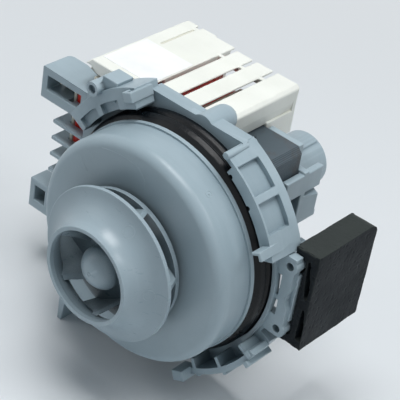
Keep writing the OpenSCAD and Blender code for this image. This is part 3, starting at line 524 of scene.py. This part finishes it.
def rubber_block():
    """The block as it lies: rounded and gnawed edges, swollen faces and two slits worn into its front."""
    piece = new_piece("dressed_mount_block", welded("mount_block"))
    upper = slit([(57.2, 18.2), (57.9, 12.6), (58.7, 6.4), (59.2, 1.6)], (0.35, 0.7, 0.95, 0.6))
    piece.data = carved(piece, upper)
    lower = slit([(59.4, -3.0), (59.7, -8.5), (59.8, -13.0), (59.9, -17.0)], (0.4, 0.95, 1.25, 1.1))
    piece.data = carved(piece, lower)
    notch = prism_run("notch", [
        ((50.0, 11.0, 20.2), (52.4, 11.0, 22.2), (52.2, 15.4, 22.2), (50.0, 15.0, 20.6)),
        ((50.0, 11.0, 22.2), (52.8, 11.0, 23.2), (52.8, 15.8, 23.2), (50.0, 15.4, 22.6)),
    ])
    piece.data = carved(piece, notch)
    bevel = piece.modifiers.new("edges", "BEVEL")
    bevel.width = 0.7 * MM
    bevel.segments = 3
    bevel.limit_method = "ANGLE"
    bevel.angle_limit = math.radians(40)
    remesh = piece.modifiers.new("voxels", "REMESH")
    remesh.mode = "VOXEL"
    remesh.voxel_size = 0.34 * MM
    mesh = settle(piece)
    piece.modifiers.clear()
    rounds = (
        (BLOCK_BACK, BLOCK_TOP, 5.5), (BLOCK_BACK, -BLOCK_TOP, 1.5),
        (BLOCK_FRONT, BLOCK_TOP, 1.6), (BLOCK_FRONT, -BLOCK_TOP, 1.4),
    )
    places = [(vertex.co / MM, vertex.normal.copy()) for vertex in mesh.vertices]
    moved = []
    for p, normal in places:
        y, z = p.y, p.z
        for corner_y, corner_z, radius in rounds:
            y, z = rounded_corner(y, z, corner_y, corner_z, radius)
        swell = 0.5 + 0.5 * noise.noise(p * 0.17)
        pits = max(0.0, noise.noise(p * 0.9 + Vector((3, 7, 1))) - 0.25)
        grain = 0.5 + 0.5 * noise.noise(p * 2.3)
        rim = p.y < BLOCK_FRONT + 1.6
        gnawed = max(0.0, noise.noise(p * 0.55 + Vector((9, 2, 5)))) * (0.55 if rim else 0.0)
        depth = 0.28 * swell + 0.35 * pits + 0.05 * grain + gnawed
        moved.extend((Vector((p.x, y, z)) - normal * depth) * MM)
    mesh.vertices.foreach_set("co", moved)
    mesh.update()
    smoothed(mesh)
    coat(mesh, BLACK)
    piece.data = mesh
    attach(piece, BODY_OF["mount_block"])
    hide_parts("mount_block")


rubber_block()


def lug_notches():
    """Two small half-round notches in the inner front edge of the right lug."""
    radius = 0.0009
    depth = 0.0024
    lug_edge = 48.9
    bm = bmesh.new()
    for degrees in (43.0, 57.5):
        made = bmesh.ops.create_cone(
            bm, cap_ends=True, segments=24, radius1=radius, radius2=radius, depth=depth)
        place = Matrix.Translation(on_ring(lug_edge, 0.0, degrees) * MM)
        place = place @ Matrix.Rotation(math.pi / 2, 4, "X")
        bmesh.ops.transform(bm, matrix=place, verts=made["verts"])
    mesh = bpy.data.meshes.new("notches")
    bm.to_mesh(mesh)
    bm.free()
    return new_piece("notches", mesh)


# Each dressed node with its material and the rounding of its edges in mm
DRESSED = (
    ("impeller_hub", DARK_GREY, 0.25),
    ("impeller_shroud", DARK_GREY, 0.20),
    ("pump_cover", GREY, 0.30),
    ("cover_gasket", RING, 0.30),
    ("rear_bracket", GREY, 0.40),
    ("coil_housing", IVORY, 0.45),
    ("label_plate", LABEL, 0.05),
    ("stator_core", CORE, 0.12),
    ("upper_bobbin", WHITE, 0.20),
    ("lower_bobbin", WHITE, 0.20),
    ("upper_coil_tape", TAPE, 0.60),
    ("lower_coil_tape", TAPE, 0.60),
)
dress("motor_casing", GREY, 0.35, cutter=lug_notches())
for node, material, width in DRESSED:
    dress(node, material, width, merge=node != "impeller_shroud")


# Moulding marks
def raised_line(name, points, radius, node, material, closed=False):
    """A fine raised line through points in mm, on a node's body."""
    sides = 8
    count = len(points)
    corners, faces = [], []
    for i, point in enumerate(points):
        before = points[i - 1] if closed or i > 0 else point
        after = points[(i + 1) % count] if closed or i < count - 1 else point
        along = (after - before).normalized()
        across = along.cross(Vector((0.2, 0.9, 0.4))).normalized()
        other = along.cross(across)
        for j in range(sides):
            turn = 2 * math.pi * j / sides
            corners.append((point + (across * math.cos(turn) + other * math.sin(turn)) * radius) * MM)
    for i in range(count if closed else count - 1):
        k = (i + 1) % count
        for j in range(sides):
            m = (j + 1) % sides
            faces.append((i * sides + j, i * sides + m, k * sides + m, k * sides + j))
    if not closed:
        faces.append(tuple(range(sides)))
        faces.append(tuple((count - 1) * sides + j for j in reversed(range(sides))))
    mesh = solid_mesh(name, corners, faces)
    coat(mesh, material)
    smoothed(mesh)
    piece = new_piece(name, mesh)
    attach(piece, BODY_OF[node])


# The height of the lines' middle on the cover's face, and the radius of the cover's wall, in mm
FACE_Y = -16.98
WALL_R = 44.2


def smooth_run(stops, steps):
    """Points between stops of radius and direction, on the cover's face."""
    out = []
    for (r0, a0), (r1, a1) in zip(stops, stops[1:]):
        for i in range(steps):
            t = i / steps
            out.append(on_ring(r0 + (r1 - r0) * t, FACE_Y, a0 + (a1 - a0) * t))
    out.append(on_ring(stops[-1][0], FACE_Y, stops[-1][1]))
    return out


LONG_LINE = [(40.2, 117), (38.6, 103), (37, 91), (33.5, 85), (31, 84)]
raised_line("cover_line", smooth_run(LONG_LINE, 6), 0.09, "pump_cover", GREY)
raised_line("cover_tick", smooth_run([(39, 136), (33, 136)], 3), 0.09, "pump_cover", GREY)


def gate_mark():
    """The ring that the gate left on the cover's wall, with the broken stub in it."""
    steps = 28
    ring_r = 1.3
    centre = on_ring(WALL_R, -8.5, 56)
    out = centre.copy()
    out.y = 0
    out.normalize()
    side = Vector((0, 1, 0))
    along = out.cross(side)
    ring = []
    for i in range(steps):
        turn = 2 * math.pi * i / steps
        point = centre + (side * math.cos(turn) + along * math.sin(turn)) * ring_r
        radial = Vector((point.x, 0, point.z)).normalized() * WALL_R
        ring.append(Vector((radial.x, point.y, radial.z)))
    raised_line("gate_ring", ring, 0.10, "pump_cover", GREY, closed=True)
    raised_line("gate_stub", [centre - along * 0.25, centre + out * 0.12, centre + along * 0.25], 0.2,
                "pump_cover", GREY)


gate_mark()


# The bell curve's centre in radius and Y, its radius, and the places of two round marks on it
BELL = (29.8, -38.8, 10.8)
BELL_MARKS = ((22.99, -30.34, 1.96), (9.76, -29.98, 21.45))


def on_bell(point):
    """The nearest point on the shroud's bell curve."""
    r = math.hypot(point.x, point.z)
    u, v = r - BELL[0], point.y - BELL[1]
    far = math.hypot(u, v)
    r_new = BELL[0] + u * BELL[2] / far
    return Vector((point.x * r_new / r, BELL[1] + v * BELL[2] / far, point.z * r_new / r))


def bell_ring(spot):
    """A ring on the bell curve about a spot, as an ejector pin leaves it."""
    steps = 36
    ring_r = 2.2
    centre = on_bell(Vector(spot))
    r = math.hypot(centre.x, centre.z)
    from_bell = r - BELL[0]
    outward = Vector((centre.x / r * from_bell, centre.y - BELL[1], centre.z / r * from_bell)).normalized()
    first = outward.orthogonal().normalized()
    second = outward.cross(first)
    turns = [2 * math.pi * i / steps for i in range(steps)]
    return [on_bell(centre + (first * math.cos(t) + second * math.sin(t)) * ring_r) for t in turns]


for index, spot in enumerate(BELL_MARKS):
    raised_line("bell_mark_" + str(index), bell_ring(spot), 0.10, "impeller_shroud", DARK_GREY, closed=True)

DIMPLE = [on_ring(0.75, -36.68, a * 15) for a in range(24)]
raised_line("nose_dimple", DIMPLE, 0.12, "impeller_hub", DARK_GREY, closed=True)

# The nodes inside, which keep their CAD shape
INNER = {
    "upper_winding": COPPER, "lower_winding": COPPER, "upper_terminal": BRASS, "lower_terminal": BRASS,
    "shaft": STEEL, "rotor_magnet": FERRITE, "magnet_sleeve": WHITE, "drive_dog": WHITE,
    "front_bearing": CARBON, "rear_bearing": CARBON, "rear_bearing_seat": RING,
    "thrust_washer": WASHER, "cover_seal": RING,
}
for node, material in INNER.items():
    coat(NODES[node].data, material)


# Camera, fitted to the photo: its place in mm, its axes, its focal length and the photo's width in pixels
CAMERA_PLACE = Vector((262.90, -345.58, 318.19))
FOCAL = 1464.43
PHOTO_WIDTH = 400
SENSOR = 36.0
scene = bpy.context.scene
camera_data = bpy.data.cameras.new("camera")
camera = new_piece("camera", camera_data)
RIGHT = Vector((0.7419, 0.6546, 0.1453)).normalized()
AHEAD = Vector((-0.4795, 0.6693, -0.5675)).normalized()
UP = RIGHT.cross(AHEAD).normalized()
RIGHT = AHEAD.cross(UP).normalized()
rows = Matrix((RIGHT, UP, -AHEAD)).transposed().to_4x4()
camera.matrix_world = Matrix.Translation(CAMERA_PLACE * MM) @ rows
camera_data.sensor_width = SENSOR
camera_data.lens = FOCAL / PHOTO_WIDTH * SENSOR
camera_data.clip_start = 0.01
camera_data.clip_end = 20
scene.camera = camera


# Floor, light and world
def stage_plane(name, size, z):
    """A level square for the stage."""
    mesh = bpy.data.meshes.new(name)
    h = size / 2
    mesh.from_pydata([(-h, -h, z), (h, -h, z), (h, h, z), (-h, h, z)], [], [(0, 1, 2, 3)])
    plane = new_piece(name, mesh)
    return plane


BACKDROP = linear(226, 230, 233)


def floor_material():
    """A matt floor that passes into the backdrop's colour far from the part and is open from below."""
    fade_from, fade_to = 0.16, 0.55
    s = Shader("studio floor")
    s.colour(s.mix(s.ramp(s.noise(3, 3), 0.3, 0.7, 0, 0.02), BACKDROP, linear(214, 218, 222)))
    s.rough(0.9)
    far = s.node("ShaderNodeVectorMath", operation="LENGTH")
    s.join(s.coords, far.inputs[0])
    seen = s.node("ShaderNodeLightPath")
    direct = s.maths("MAXIMUM", seen.outputs["Is Camera Ray"],
                     s.maths("MAXIMUM", seen.outputs["Is Glossy Ray"], seen.outputs["Is Transmission Ray"]))
    fade = s.maths("MULTIPLY", s.ramp(far.outputs["Value"], fade_from, fade_to), direct)
    glow = s.node("ShaderNodeEmission")
    glow.inputs["Color"].default_value = BACKDROP + (1,)
    faded = s.node("ShaderNodeMixShader")
    s.join(fade, faded.inputs[0])
    s.join(s.bsdf.outputs[0], faded.inputs[1])
    s.join(glow.outputs[0], faded.inputs[2])
    below = s.node("ShaderNodeMixShader")
    s.join(s.node("ShaderNodeNewGeometry").outputs["Backfacing"], below.inputs[0])
    s.join(faded.outputs[0], below.inputs[1])
    s.join(s.node("ShaderNodeBsdfTransparent").outputs[0], below.inputs[2])
    s.join(below.outputs[0], s.tree.nodes["Material Output"].inputs["Surface"])
    return s.material


floor = stage_plane("floor", 6.0, cad_low.z)
floor.data.materials.append(floor_material())


def area(name, place, aim, size, power):
    """A soft lamp that looks at a point of the part."""
    lamp = bpy.data.lights.new(name, "AREA")
    lamp.shape = "RECTANGLE"
    lamp.size, lamp.size_y = size
    lamp.energy = power
    holder = new_piece(name, lamp)
    holder.location = place
    holder.rotation_euler = (Vector(aim) - Vector(place)).to_track_quat("-Z", "Y").to_euler()


# Name, place, aim and size in metres, and watts
LAMPS = (
    ("key", (0.0, -0.05, 0.95), (0, 0.02, 0), (0.5, 0.5), 7.0),
    ("side", (0.62, 0.25, 0.73), (0, 0.02, 0), (0.35, 0.35), 1.8),
    ("fill_left", (-0.8, -0.5, 0.5), (0, 0, 0), (0.5, 0.7), 0.9),
    ("fill_right", (0.9, -0.2, 0.45), (0, 0.02, 0), (0.4, 0.6), 0.6),
)
for lamp in LAMPS:
    area(*lamp)


def studio_world():
    """The backdrop's colour where it is seen or mirrored, and a faint cool light otherwise."""
    world = bpy.data.worlds.new("studio")
    world.use_nodes = True
    tree = world.node_tree
    tree.nodes.clear()
    out = tree.nodes.new("ShaderNodeOutputWorld")
    mix = tree.nodes.new("ShaderNodeMixShader")
    seen = tree.nodes.new("ShaderNodeBackground")
    seen.inputs["Color"].default_value = BACKDROP + (1,)
    light = tree.nodes.new("ShaderNodeBackground")
    light.inputs["Color"].default_value = (0.80, 0.91, 1.0, 1)
    light.inputs["Strength"].default_value = 0.2
    path = tree.nodes.new("ShaderNodeLightPath")
    shiny = tree.nodes.new("ShaderNodeMath")
    shiny.operation = "MAXIMUM"
    tree.links.new(path.outputs["Is Glossy Ray"], shiny.inputs[0])
    tree.links.new(path.outputs["Is Transmission Ray"], shiny.inputs[1])
    direct = tree.nodes.new("ShaderNodeMath")
    direct.operation = "MAXIMUM"
    tree.links.new(path.outputs["Is Camera Ray"], direct.inputs[0])
    tree.links.new(shiny.outputs[0], direct.inputs[1])
    tree.links.new(direct.outputs[0], mix.inputs["Fac"])
    tree.links.new(light.outputs[0], mix.inputs[1])
    tree.links.new(seen.outputs[0], mix.inputs[2])
    tree.links.new(mix.outputs[0], out.inputs["Surface"])
    return world


scene.world = studio_world()
scene.view_settings.view_transform = "Standard"
